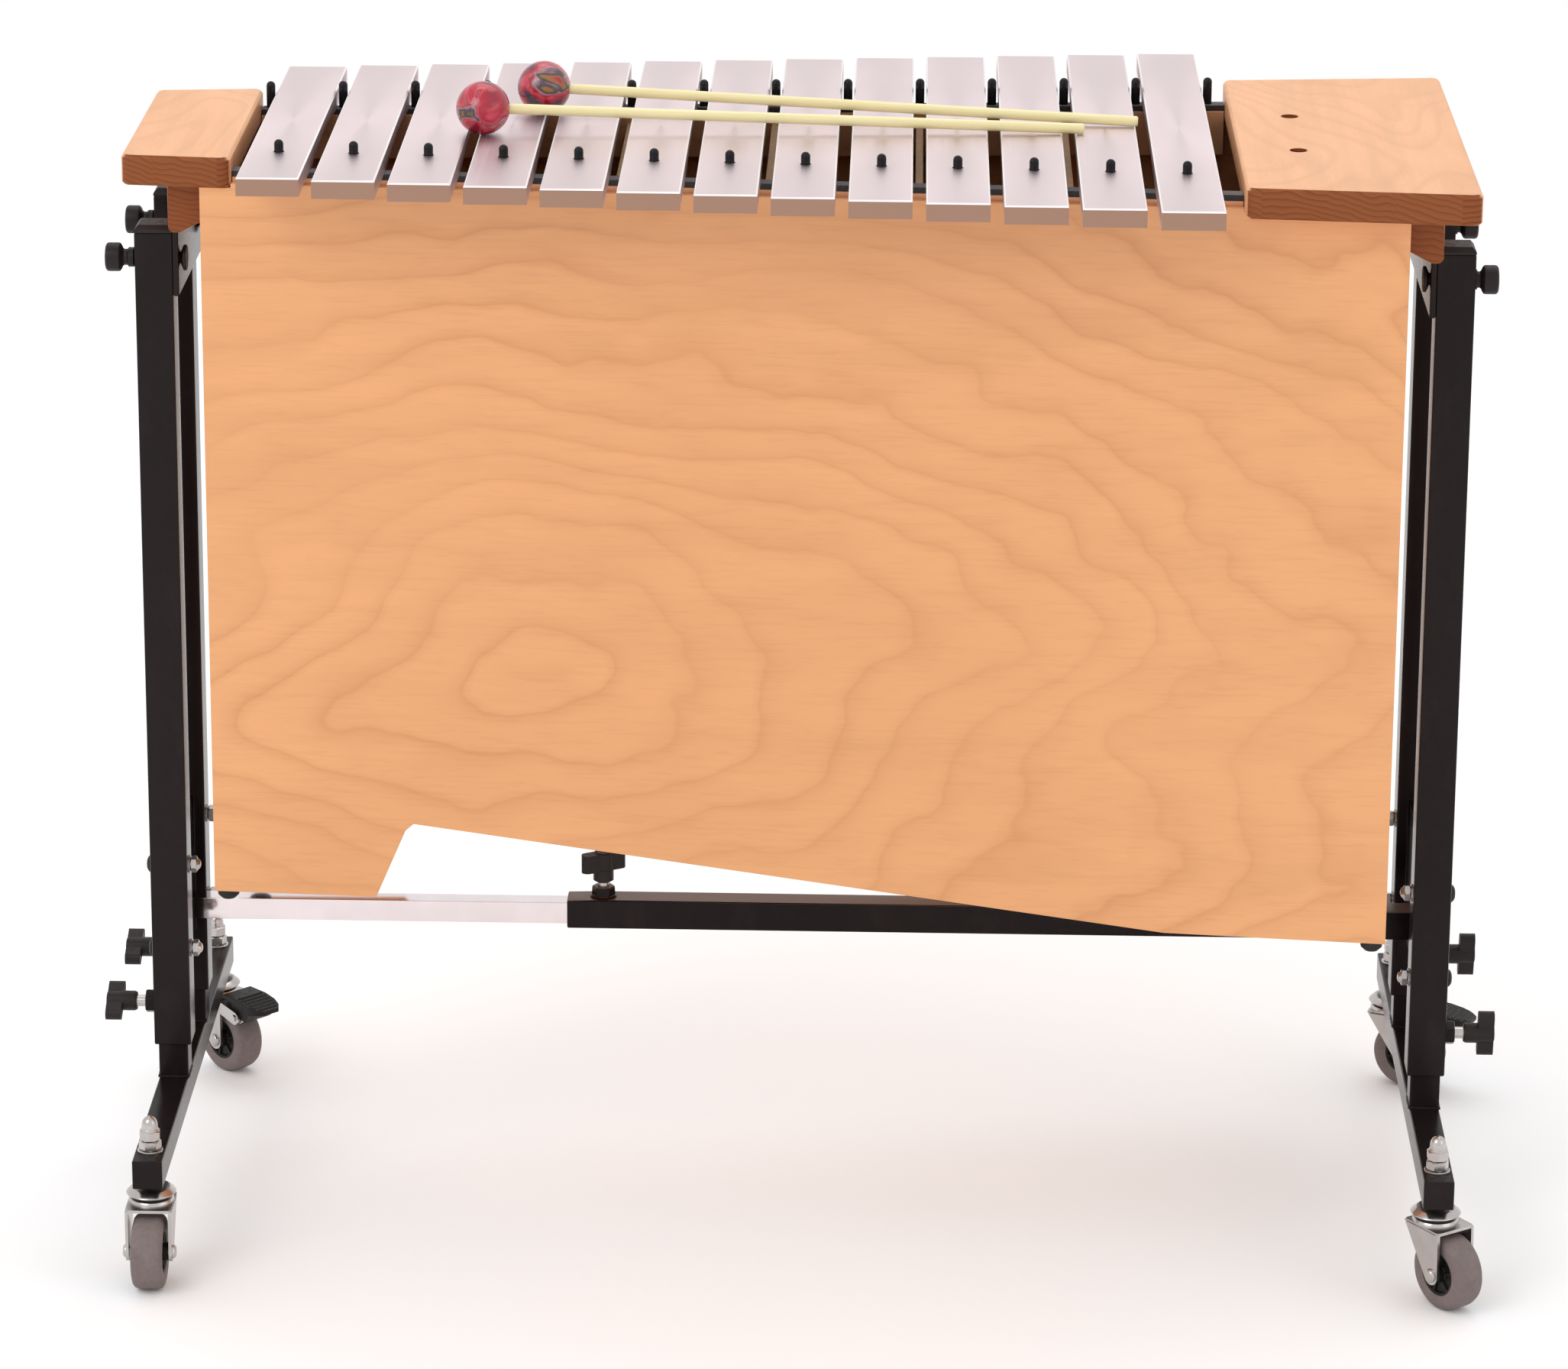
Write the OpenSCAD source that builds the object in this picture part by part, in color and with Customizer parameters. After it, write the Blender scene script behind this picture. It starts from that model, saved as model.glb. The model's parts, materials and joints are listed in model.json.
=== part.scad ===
// Bass metallophone in a wooden resonator box, hanging on a rolling stand that
// adjusts in height and in width. Millimetres. X runs along the row of bars, Y
// from front to back, Z up. The origin is on the floor under the middle.

/* [Bars] */
// Height of the top face of the bars above the floor
bar_top_z = 742; // [700:1:800]
// Number of sound bars
bar_count = 13; // [13:13]
// Distance from one bar to the next
bar_pitch = 48.5; // [46:0.5:50]
// Width of a bar
bar_w = 40; // [36:1:42]
// Thickness of a bar
bar_t = 12; // [10:0.5:14]
// Length of the shortest bar, at the treble end
bar_short = 334; // [320:1:340]
// How much longer each bar is than the one before it
bar_step = 11; // [9:0.5:12]
// Centre of the first bar along X
bar_first_x = -336; // [-340:1:-332]
// Distance of the still points from a bar's ends, as a share of its length
still_share = 0.224; // [0.2:0.004:0.24]
// Chamfer along the top edges of a bar
bar_chamfer = 1; // [0.5:0.1:2]
// Depth of the tuning arch under a bar
arch_d = 4.5; // [2:0.5:6]

/* [Resonator box] */
// Half of the length of the box
box_half = 387; // [380:1:388]
// Thickness of the box walls
wall = 6; // [4:0.5:8]
// Top edge of the front and back panels
panel_top_z = 723; // [710:1:724]
// Distance from the line of pins to the outer face of a panel
panel_out = 13; // [11:0.5:16]
// Height of the low feet of the panels at the treble end
foot_z = 239; // [230:1:250]
// Height of the top corner of the cut-out in the panels
notch_z = 291; // [280:1:300]
// Height of the lower edge at the bass end
bass_z = 231; // [228:1:236]
// Width of the two rails that carry the pins
rail_w = 14; // [12:0.5:16]
// Height of the two rails
rail_h = 30; // [20:1:40]
// Thickness of the felt under the bars
felt_t = 4; // [2:0.5:5]
// Diameter of a pin with its sleeve
pin_d = 6; // [5:0.5:6.5]
// Height that a pin stands above the bars
pin_up = 8; // [5:0.5:10]

/* [End blocks] */
// Thickness of an end block
block_t = 20; // [16:1:22]
// Height of the top face of the end blocks
block_top_z = 740; // [736:1:744]
// Half of the depth of the treble end block at its outer edge
block_half_y = 99; // [95:1:104]
// Growth of that half depth for each millimetre along X
block_taper = 0.087; // [0.07:0.001:0.1]

/* [Stand] */
// Inner faces of the posts, measured from the middle
post_in_x = 410; // [410:1:416]
// Width of the outer square tubes of the posts
post_w = 25; // [25:1:26]
// Width of the inner tubes and of the base tubes
tube_w = 20; // [20:1:20]
// Wall of the square tubes
tube_wall = 2; // [1.5:0.1:2]
// Spacing of the posts at the treble end
pitch_left = 104; // [90:1:110]
// Spacing of the posts at the bass end
pitch_right = 150; // [130:1:160]
// Lower end of the outer posts
post_low_z = 114; // [110:1:120]
// Upper end of the outer posts, under the caps
post_top_z = 680; // [676:1:684]
// Length of a base tube
base_len = 420; // [400:1:424]
// Top of the base tubes
base_top_z = 90; // [88:1:92]
// Height of the middle of the crossbar
cross_z = 192; // [185:1:200]
// Height of the four height locks
lock_z = 141; // [135:1:145]
// Height of the four clamp screws
clamp_z = 661; // [655:1:664]
// How far the frame can be raised
raise = 200; // [100:10:200]

/* [Castors] */
// Diameter of a wheel
wheel_d = 50; // [50:1:50]
// Width of a wheel
wheel_w = 21; // [18:1:22]
// Distance of the wheel's axle from the swivel axis
trail = 15; // [12:1:16]
// Distance of the swivel axis from the end of the base tube
stem_in = 17; // [15:1:20]

/* [Mallets] */
// Diameter of a mallet head
head_d = 35; // [30:1:38]
// Diameter of a mallet handle
handle_d = 7; // [6:0.5:8]
// Length of a mallet handle
handle_len = 392; // [360:1:400]

/* [Hidden] */
$fn = 64;
bar_names = [for (i = [1 : 13]) str("bar_", i < 10 ? "0" : "", i)];

eps = 0.01;
beech = "burlywood";
black = [0.16, 0.15, 0.15];
zinc = [0.75, 0.76, 0.78];

bar_low_z = bar_top_z - bar_t;
felt_z = bar_low_z - felt_t;
gap_first_x = bar_first_x - bar_pitch / 2;
// Length of bar i, counted from 0, and half the spacing of the still points at x
function bar_len(i) = bar_short + bar_step * i;
function bar_x(i) = bar_first_x + bar_pitch * i;
function pin_y(x) = (0.5 - still_share) * (bar_short + bar_step * (x - bar_first_x) / bar_pitch);
function block_y(x) = block_half_y + block_taper * (x + block_out_x);

block_out_x = 434;
block_left_out_x = -438;
block_right_out_x = 430;
block_left_in_x = -366.5;
block_right_in_x = 282;
block_r = 7;
clamp_neck_left = 10;
clamp_neck_right = 5.5;
block_low_z = block_top_z - block_t;
block_hole_d = 12;
block_hole_x = 321;
block_hole_y = [-52, 48];

post_x = post_in_x + post_w / 2;
bore_w = post_w - 2 * tube_wall;
cap_t = 5;
plate_t = 4;
plate_low_z = 638;
plate_top_z = 686;
bolt_z = [180, 240];
bolt_d = 6;
inner_top_z = 490;
slot_w = 9;
tie_low_z = 160;
tie_top_z = 258;
tie_x = 418;
cross_w = 20;
cross_in_w = 15;
cross_join_x = -157.5;
cross_in_end_x = 60;
knob_x = -133;
screw_d = 8;
screw_fit = 0.2;
body_gap = 0.3;
cleat_z = plate_top_z + body_gap;

/* ---------- general shapes ---------- */

// A box from one corner to the opposite one
module span(a, b) {
    translate(a) cube(b - a);
}

// A cylinder along X between two places, at a given y and z
module rod_x(x0, x1, y, z, d, d2 = 0) {
    translate([min(x0, x1), y, z]) rotate([0, 90, 0])
        cylinder(h = abs(x1 - x0), d1 = x1 > x0 || d2 == 0 ? d : d2, d2 = x1 > x0 && d2 > 0 ? d2 : d);
}

// A six-sided prism along X
module hex_x(x0, x1, y, z, flats) {
    translate([min(x0, x1), y, z]) rotate([0, 90, 0])
        cylinder(h = abs(x1 - x0), d = flats / cos(30), $fn = 6);
}

// An upright square tube
module square_tube(x, y, z0, z1, w, t) {
    difference() {
        span([x - w / 2, y - w / 2, z0], [x + w / 2, y + w / 2, z1]);
        span([x - w / 2 + t, y - w / 2 + t, z0 - 1], [x + w / 2 - t, y + w / 2 - t, z1 + 1]);
    }
}

// A wing knob: a hub on the z axis with two wings set off to opposite sides
module wing_knob(hub_d, hub_h, wing_r, wing_w, wing_h, turn, taper = 1) {
    rotate([0, 0, turn]) {
        cylinder(h = taper, d1 = hub_d - taper * 1.6, d2 = hub_d);
        translate([0, 0, taper]) cylinder(h = hub_h - 1 - taper, d = hub_d);
        translate([0, 0, hub_h - 1]) cylinder(h = 1, d1 = hub_d, d2 = hub_d - 1.5);
        for (a = [0, 180]) rotate([0, 0, a]) translate([0, wing_off, hub_h - wing_h - 1.3]) {
            translate([0, -wing_w / 2, 0]) cube([wing_r - wing_w / 2, wing_w, wing_h]);
            translate([wing_r - wing_w / 2, 0, 0]) cylinder(h = wing_h, d = wing_w + 0.3);
        }
    }
}

wing_off = 1.2;

/* ---------- bars ---------- */

// One bar: chamfered top edges, an arch below and a hole for its front pin
module bar(i) {
    len = bar_len(i);
    still = (0.5 - still_share) * len;
    half_arch = still - 14;
    arch_r = (half_arch * half_arch + arch_d * arch_d) / (2 * arch_d);
    c = bar_chamfer;
    color([0.87, 0.8, 0.81]) translate([bar_x(i), 0, bar_low_z]) difference() {
        intersection() {
            translate([0, len / 2, 0]) rotate([90, 0, 0]) linear_extrude(len)
                polygon([[-bar_w / 2, 0], [bar_w / 2, 0], [bar_w / 2, bar_t - c], [bar_w / 2 - c, bar_t],
                         [c - bar_w / 2, bar_t], [-bar_w / 2, bar_t - c]]);
            translate([-bar_w / 2 - 1, 0, 0]) rotate([90, 0, 90]) linear_extrude(bar_w + 2)
                polygon([[-len / 2, 0], [len / 2, 0], [len / 2, bar_t - c], [len / 2 - c, bar_t],
                         [c - len / 2, bar_t], [-len / 2, bar_t - c]]);
        }
        translate([0, -still, -1]) cylinder(h = bar_t + 2, d = pin_d + 1.2);
        translate([0, 0, arch_d - arch_r]) rotate([0, 90, 0])
            cylinder(h = bar_w + 2, r = arch_r, center = true, $fn = 180);
    }
}

/* ---------- resonator box ---------- */

// Outline of a long panel seen from the front
module panel_outline() {
    translate([0, 500, 0]) rotate([90, 0, 0]) linear_extrude(1000) difference() {
        polygon([[-box_half, foot_z], [-278.5, foot_z], [-258.5, notch_z - 5], [-253, notch_z],
                 [242.6, bass_z + 2.5], [box_half, bass_z], [box_half, block_low_z],
                 [block_right_in_x, block_low_z], [block_right_in_x, panel_top_z],
                 [block_left_in_x, panel_top_z], [block_left_in_x, block_low_z],
                 [-box_half, block_low_z]]);
    }
}

// Plan of a board that follows the pins, from a to b outside their line
module following_strip(side, x0, x1, a, b, z0, z1) {
    translate([0, 0, z0]) linear_extrude(z1 - z0) polygon([
        [x0, side * (pin_y(x0) + a)], [x1, side * (pin_y(x1) + a)],
        [x1, side * (pin_y(x1) + b)], [x0, side * (pin_y(x0) + b)]]);
}

module long_panel(side) {
    color(beech) intersection() {
        panel_outline();
        following_strip(side, -box_half, box_half, panel_out - wall, panel_out, 0, bar_top_z);
    }
}

module front_panel() {
    long_panel(-1);
}

module back_panel() {
    long_panel(1);
}

// A plan between the two long panels, from x0 to x1
module between_panels(x0, x1, z0, z1, margin) {
    a = panel_out - wall - margin;
    translate([0, 0, z0]) linear_extrude(z1 - z0) polygon([
        [x0, -pin_y(x0) - a], [x1, -pin_y(x1) - a], [x1, pin_y(x1) + a], [x0, pin_y(x0) + a]]);
}

// The two end walls and the two bottom boards that close the box
module end_panels() {
    slope = (bass_z + 2.5 - notch_z) / (242.6 + 253);
    color(beech) {
        between_panels(-box_half, wall - box_half, foot_z, block_low_z, 0);
        between_panels(box_half - wall, box_half, bass_z + 1, block_low_z, 0);
        intersection() {
            between_panels(wall - box_half, box_half - wall, bass_z, notch_z + 40, 0);
            translate([0, 500, 0]) rotate([90, 0, 0]) linear_extrude(1000) polygon([
                for (p = [[-box_half, 1], [242.6, 1], [box_half, 1], [box_half, 2], [242.6, 2], [-box_half, 2]])
                    [p[0], (p[0] > 242.6 ? bass_z + 2 : notch_z + slope * (p[0] + 253)) + p[1] * wall]]);
        }
    }
}

// Thin walls that split the box into chambers, one for each pair of bars
module partitions() {
    color("wheat") for (i = [2 : 2 : 10]) {
        x = bar_x(i) + bar_pitch / 2;
        between_panels(x - 2.5, x + 2.5, notch_z + 14, felt_z - rail_h, 0);
        between_panels(x - 2.5, x + 2.5, felt_z - rail_h - eps, felt_z - 6, rail_w);
    }
}

rail_x0 = block_left_in_x + 0.3;
rail_x1 = block_right_in_x - 0.3;

module bar_rails() {
    color(beech) for (side = [-1, 1]) difference() {
        following_strip(side, rail_x0, rail_x1, -rail_w / 2, rail_w / 2 - 0.1, felt_z - rail_h, felt_z);
        pin_places(side) cylinder(h = 40, d = pin_d - 1.98, center = true);
    }
}

// Puts its children at the foot of each pin of one row
module pin_places(side) {
    for (i = [0 : side < 0 ? bar_count - 1 : bar_count]) {
        x = side < 0 ? bar_x(i) : gap_first_x + bar_pitch * i;
        translate([x, side * pin_y(x), felt_z]) children();
    }
}

module felt_strips() {
    color([0.1, 0.09, 0.09]) for (side = [-1, 1]) difference() {
        following_strip(side, rail_x0, rail_x1, 1 - rail_w / 2, rail_w / 2 - 1, felt_z, bar_low_z - 0.02);
        pin_places(side) cylinder(h = 20, d = pin_d, center = true);
    }
}

// Steel pins with black sleeves and domed ends; the front row goes through the bars
module bar_pins() {
    color([0.08, 0.08, 0.08]) for (side = [-1, 1]) pin_places(side) {
        translate([0, 0, -18]) cylinder(h = 18.5, d = pin_d - 2);
        cylinder(h = bar_top_z + pin_up - pin_d / 2 - felt_z - (side > 0 ? 2 : 0), d = pin_d);
        translate([0, 0, bar_top_z + pin_up - pin_d / 2 - felt_z - (side > 0 ? 2 : 0)]) sphere(d = pin_d);
    }
}

// Solid end blocks with round corners; the bass one has two storage holes for mallets
module end_blocks() {
    color("navajowhite") {
        end_block(block_left_out_x, block_left_in_x);
        difference() {
            end_block(block_right_in_x, block_right_out_x);
            for (y = block_hole_y) translate([block_hole_x, y, block_top_z - block_t - 1])
                cylinder(h = block_t + 2, d = block_hole_d);
        }
    }
}

module end_block(x0, x1) {
    r = block_r;
    translate([0, 0, block_top_z - block_t]) hull() for (x = [x0, x1], s = [-1, 1])
        translate([x + (x == x0 ? r : -r), s * (block_y(x) - r), 0]) {
            cylinder(h = 1.5, r1 = r - 1.5, r2 = r, $fn = 32);
            translate([0, 0, block_t - 2]) cylinder(h = 2, r1 = r, r2 = r - 1.8, $fn = 32);
        }
}

// Bevelled hardwood cleats that hang the box on the plates of the stand
module hanging_cleats() {
    color("peru") for (s = [-1, 1]) {
        half = s < 0 ? pin_y(-box_half) - 2 : pin_y(box_half) - 2;
        mirror([s < 0 ? 1 : 0, 0, 0]) translate([0, half, 0]) rotate([90, 0, 0]) linear_extrude(2 * half)
            difference() {
                polygon([[box_half, 694], [401.5, cleat_z], [409.5, cleat_z], [409.5, block_top_z - block_t],
                         [box_half, block_top_z - block_t]]);
                translate([409.5, cleat_z]) difference() {
                    square(8, center = true);
                    translate([-4, 4]) circle(r = 4);
                    translate([-8, -8]) square([4, 20]);
                    translate([-8, 4]) square([20, 8]);
                }
            }
    }
}

module rubber_feet() {
    color(black) for (s = [-1, 1], t = [-1, 1]) {
        x = s * (box_half - 8.5);
        translate([x, t * (pin_y(x) + 5), (s < 0 ? foot_z : bass_z) - 6.5]) {
            cylinder(h = 2.5, d1 = 9, d2 = 14);
            translate([0, 0, 2.5]) cylinder(h = 4, d1 = 14, d2 = 15);
        }
    }
}

/* ---------- mallets ---------- */

// Each mallet lies across the bars: place of its head, its turn and its tilt
mallet_1 = [-208, -38];
mallet_1_turn = 2.5;
mallet_2 = [-172, 26];
mallet_2_turn = -3.5;
head_z = bar_top_z + head_d / 2 + body_gap;
handle_tilt = asin((head_d / 2 - handle_d / 2) / handle_len);

module mallet_frame(place, turn) {
    translate([place[0], place[1], head_z]) rotate([0, 0, turn]) rotate([0, handle_tilt, 0]) children();
}

module mallet_head(place, turn) {
    color("crimson") mallet_frame(place, turn) difference() {
        sphere(d = head_d, $fn = 96);
        translate([2, 0, 0]) rotate([0, 90, 0]) cylinder(h = head_d, d = handle_d);
    }
}

module mallet_handle(place, turn) {
    color("khaki") mallet_frame(place, turn) rotate([0, 90, 0]) {
        translate([0, 0, 2]) cylinder(h = handle_len - 3, d = handle_d);
        translate([0, 0, handle_len - 1]) cylinder(h = 1, d1 = handle_d, d2 = handle_d - 1.6);
    }
}

/* ---------- upper frame ---------- */

function post_ys(s) = [-1, 1] * (s < 0 ? pitch_left : pitch_right) / 2;

// Two outer posts with the threaded bosses of the height locks and the tie plate between them
module outer_posts(s) {
    color(black) {
        for (y = post_ys(s)) difference() {
            union() {
                square_tube(s * post_x, y, post_low_z, post_top_z, post_w, tube_wall);
                hex_x(s * (post_in_x + post_w - tube_wall), s * (post_in_x + post_w + 6.5), y, lock_z, 14.5);
            }
            rod_x(s * (post_x + 5), s * (post_x + 25), y, lock_z, screw_d + screw_fit);
            rod_x(s * (post_in_x - 5), s * (post_x + 25), y, clamp_z, screw_d + screw_fit);
            for (z = bolt_z) rod_x(s * (post_in_x - 5), s * (post_x + 25), y, z, bolt_d + 0.1);
        }
        span([s < 0 ? -tie_x - 6 : tie_x, post_ys(s)[0] + post_w / 2 - 0.5, tie_low_z],
             [s < 0 ? -tie_x : tie_x + 6, post_ys(s)[1] - post_w / 2 + 0.5, tie_top_z]);
    }
}

module post_caps(s) {
    color([0.2, 0.19, 0.19]) for (y = post_ys(s)) translate([s * post_x, y, 0]) {
        translate([0, 0, post_top_z - 12]) linear_extrude(12) square(bore_w - 0.1, center = true);
        translate([0, 0, post_top_z]) linear_extrude(2) square(post_w, center = true);
        translate([0, 0, post_top_z + 2]) rotate([0, 0, 45])
            cylinder(h = cap_t - 2, d1 = post_w * sqrt(2), d2 = (post_w - 5) * sqrt(2), $fn = 4);
    }
}

// Plate across the inner faces of a pair of posts; its top edge carries a cleat
module support_plate(s) {
    half = post_ys(s)[1] + post_w / 2;
    color(black) difference() {
        span([s < 0 ? -post_in_x : post_in_x - plate_t, -half, plate_low_z],
             [s < 0 ? plate_t - post_in_x : post_in_x, half, plate_top_z]);
        for (y = post_ys(s)) rod_x(s * (post_in_x - 10), s * (post_in_x + 5), y, clamp_z, screw_d + screw_fit);
    }
}

// Domed bolts through the posts with nuts on the inner faces
module frame_bolts(s) {
    color(zinc) for (y = post_ys(s), z = bolt_z) {
        rod_x(s * (post_in_x - 8), s * (post_in_x + post_w), y, z, bolt_d);
        hex_x(s * (post_in_x - 6), s * post_in_x, y, z, 10);
        rod_x(s * (post_in_x + post_w), s * (post_in_x + post_w + 1.2), y, z, 12);
        rod_x(s * (post_in_x + post_w + 1.2), s * (post_in_x + post_w + 3.5), y, z, 12, 6);
    }
}

module crossbar_inner() {
    color([0.9, 0.87, 0.88]) difference() {
        cross_tube(-tie_x, cross_in_end_x, cross_in_w, 0);
        cross_tube(-tie_x - 1, cross_in_end_x + 1, cross_in_w, 1.5);
    }
}

module cross_tube(x0, x1, w, t) {
    span([x0, t - w / 2, cross_z + t - w / 2], [x1, w / 2 - t, cross_z + w / 2 - t]);
}

// Outer crossbar tube with the threaded boss of its clamping knob
module crossbar_outer() {
    color(black) difference() {
        union() {
            cross_tube(cross_join_x, tie_x, cross_w, 0);
            translate([knob_x, 0, cross_z + cross_w / 2]) cylinder(h = 2, d1 = 20, d2 = 16);
            translate([knob_x, 0, cross_z + cross_w / 2]) cylinder(h = 8, d = 14 / cos(30), $fn = 6);
        }
        cross_tube(cross_join_x - 1, tie_x + 1, cross_w, tube_wall);
        translate([knob_x, 0, cross_z + 4]) cylinder(h = 30, d = screw_d + screw_fit);
    }
}

module crossbar_knob() {
    color([0.2, 0.19, 0.19]) translate([knob_x, 0, 0]) {
        translate([0, 0, cross_z + cross_in_w / 2 + body_gap]) cylinder(h = 15, d = screw_d);
        translate([0, 0, 213]) wing_knob(14, 22, 16, 8, 12.5, 25, 3);
    }
}

/* ---------- clamp screws and height locks ---------- */

// Round knob, neck, screw and pad; the pad presses on the end of the box
module clamp_screw(s, y) {
    out = post_in_x + post_w;
    head = out + (s < 0 ? clamp_neck_left : clamp_neck_right);
    color([0.18, 0.17, 0.17]) {
        rod_x(s * (post_in_x - 5), s * head, y, clamp_z, screw_d);
        rod_x(s * (out + 0.4), s * (out + 2), y, clamp_z, 10, 13);
        rod_x(s * (out + 2), s * head, y, clamp_z, 13);
        rod_x(s * head, s * (head + 1.5), y, clamp_z, 16, 19);
        rod_x(s * (head + 1.5), s * (head + 8.5), y, clamp_z, 19);
        rod_x(s * (head + 8.5), s * (head + 10), y, clamp_z, 19, 16);
        rod_x(s * (post_in_x - plate_t - 0.4), s * (post_in_x - plate_t - 2), y, clamp_z, 9, 17);
        rod_x(s * (post_in_x - plate_t - 2), s * (post_in_x - plate_t - 4), y, clamp_z, 17);
    }
}

// Wing knob on a screw that presses on the inner post
module lock_knob(s, y, turn) {
    out = post_in_x + post_w;
    color([0.18, 0.17, 0.17]) {
        rod_x(s * (post_x + tube_w / 2 + body_gap), s * (out + 15), y, lock_z, screw_d);
        translate([s * (out + 12.5), y, lock_z]) rotate([0, s * 90, 0]) wing_knob(13.5, 21, 16, 8.5, 10, turn);
    }
}

/* ---------- base frames and castors ---------- */

stem_y = base_len / 2 - stem_in;

// Base tube with plugged ends and the two slotted inner posts welded on it
module base_frame(s) {
    x = s * post_x;
    color(black) {
        difference() {
            span([x - tube_w / 2, -base_len / 2, base_top_z - tube_w], [x + tube_w / 2, base_len / 2, base_top_z]);
            span([x - tube_w / 2 + tube_wall, -base_len, base_top_z - tube_w + tube_wall],
                 [x + tube_w / 2 - tube_wall, base_len, base_top_z - tube_wall]);
            for (t = [-1, 1]) translate([x, t * stem_y, 0]) cylinder(h = base_top_z + 1, d = screw_d + 0.1);
        }
        for (t = [-1, 1]) {
            span([x - tube_w / 2 + tube_wall, min(t * (base_len / 2 - 8), t * (base_len / 2 + 2)),
                  base_top_z - tube_w + tube_wall],
                 [x + tube_w / 2 - tube_wall, max(t * (base_len / 2 - 8), t * (base_len / 2 + 2)),
                  base_top_z - tube_wall]);
            span([x - tube_w / 2, min(t * base_len / 2, t * (base_len / 2 + 2)), base_top_z - tube_w],
                 [x + tube_w / 2, max(t * base_len / 2, t * (base_len / 2 + 2)), base_top_z]);
        }
        for (y = post_ys(s)) difference() {
            square_tube(x, y, base_top_z, inner_top_z, tube_w, tube_wall);
            span([x - tube_w, y - slot_w / 2, bolt_z[0] - 8], [x + tube_w, y + slot_w / 2, inner_top_z + 1]);
        }
    }
}

// Threaded stems through the base tube with bushes, washers, nuts and domed nuts
module castor_studs(s) {
    color(zinc) for (t = [-1, 1]) translate([s * post_x, t * stem_y, 0]) {
        translate([0, 0, 60.4]) cylinder(h = base_top_z - 60.4 + 21, d = screw_d);
        translate([0, 0, 66]) cylinder(h = base_top_z - tube_w - 66, d1 = 13, d2 = 17);
        translate([0, 0, 60.4]) cylinder(h = 5.6, d = 13);
        translate([0, 0, base_top_z]) cylinder(h = 1.6, d = 17);
        translate([0, 0, base_top_z + 1.6]) rotate([0, 0, 10]) cylinder(h = 6.5, d = 13 / cos(30), $fn = 6);
        translate([0, 0, base_top_z + 8.3]) rotate([0, 0, 35]) cylinder(h = 7.5, d = 13 / cos(30), $fn = 6);
        translate([0, 0, base_top_z + 15.8]) cylinder(h = 4, d1 = 12.5, d2 = 11.5);
        translate([0, 0, base_top_z + 19.8]) sphere(d = 11.5);
    }
}

// Each castor is drawn with its wheel trailing along -Y, then turned about its stem
module castor_place(s, t, turn) {
    translate([s * post_x, t * stem_y, 0]) rotate([0, 0, turn]) children();
}

// Swivel housing and the two legs of the fork, with the axle between them
module castor_fork(s, t, turn, braked = false) {
    color(zinc) castor_place(s, t, turn) difference() {
        union() {
            translate([0, 0, 56]) cylinder(h = 2, d = 30);
            translate([0, 0, 58]) cylinder(h = 3, d1 = 30, d2 = 33);
            translate([0, 0, 61]) cylinder(h = 4, d1 = 33, d2 = 26);
            span([-leg_x - leg_t, -21, 54], [leg_x + leg_t, 13, 56 + eps]);
            for (a = [-1, 1]) translate([a > 0 ? leg_x : -leg_x - leg_t, 0, 0]) fork_leg(braked);
            rod_x(-leg_x - 3.5, leg_x + 3.5, -trail, wheel_d / 2, 5.9);
            for (a = [-1, 1]) rod_x(a * (leg_x + leg_t), a * (leg_x + leg_t + 2), -trail, wheel_d / 2, 9, 7);
        }
        translate([0, 0, 50]) cylinder(h = 20, d = 13.1);
        if (braked) rod_x(-leg_x - 10, leg_x + 10, pedal_y, pedal_z, pedal_pin_d + 0.1);
    }
}

leg_x = 13.2;
leg_t = 2;
pedal_y = -37;
pedal_z = 48;
pedal_pin_d = 5;
pedal_half = 12.7;

// One leg: narrow round foot about the axle, wide top; a braked one has an ear for the pedal
module fork_leg(braked) {
    rotate([90, 0, 90]) linear_extrude(leg_t) {
        polygon([[-21, 54 + eps], [13, 54 + eps], [5.4 - trail, 21], [-6.5 - trail, 25]]);
        translate([-trail, wheel_d / 2]) circle(r = 6.5);
        if (braked) {
            polygon([[-14, 56], [-14, 49], [pedal_y, pedal_z - 4.9], [pedal_y - 3.4, pedal_z + 3.5], [-24, 56]]);
            translate([pedal_y, pedal_z]) circle(r = 4.9);
        }
    }
}

// Grey tyre on a dark hub
module castor_wheel(s, t, turn) {
    half = wheel_w / 2;
    color([0.6, 0.56, 0.55]) castor_place(s, t, turn) translate([0, -trail, wheel_d / 2]) rotate([0, 90, 0])
        difference() {
            union() {
                cylinder(h = wheel_w - 8, d = wheel_d, center = true);
                for (a = [0, 180]) rotate([a, 0, 0]) {
                    translate([0, 0, half - 4]) cylinder(h = 2.5, d1 = wheel_d, d2 = wheel_d - 2);
                    translate([0, 0, half - 1.5]) cylinder(h = 1.5, d1 = wheel_d - 2, d2 = wheel_d - 6);
                    translate([0, 0, half]) cylinder(h = 2, d = 12);
                }
            }
            for (a = [0, 180]) rotate([a, 0, 0]) translate([0, 0, half - 3]) difference() {
                cylinder(h = 6, d = 30);
                translate([0, 0, -1]) cylinder(h = 8, d = 12);
            }
            cylinder(h = 60, d = 6, center = true);
        }
}

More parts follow.
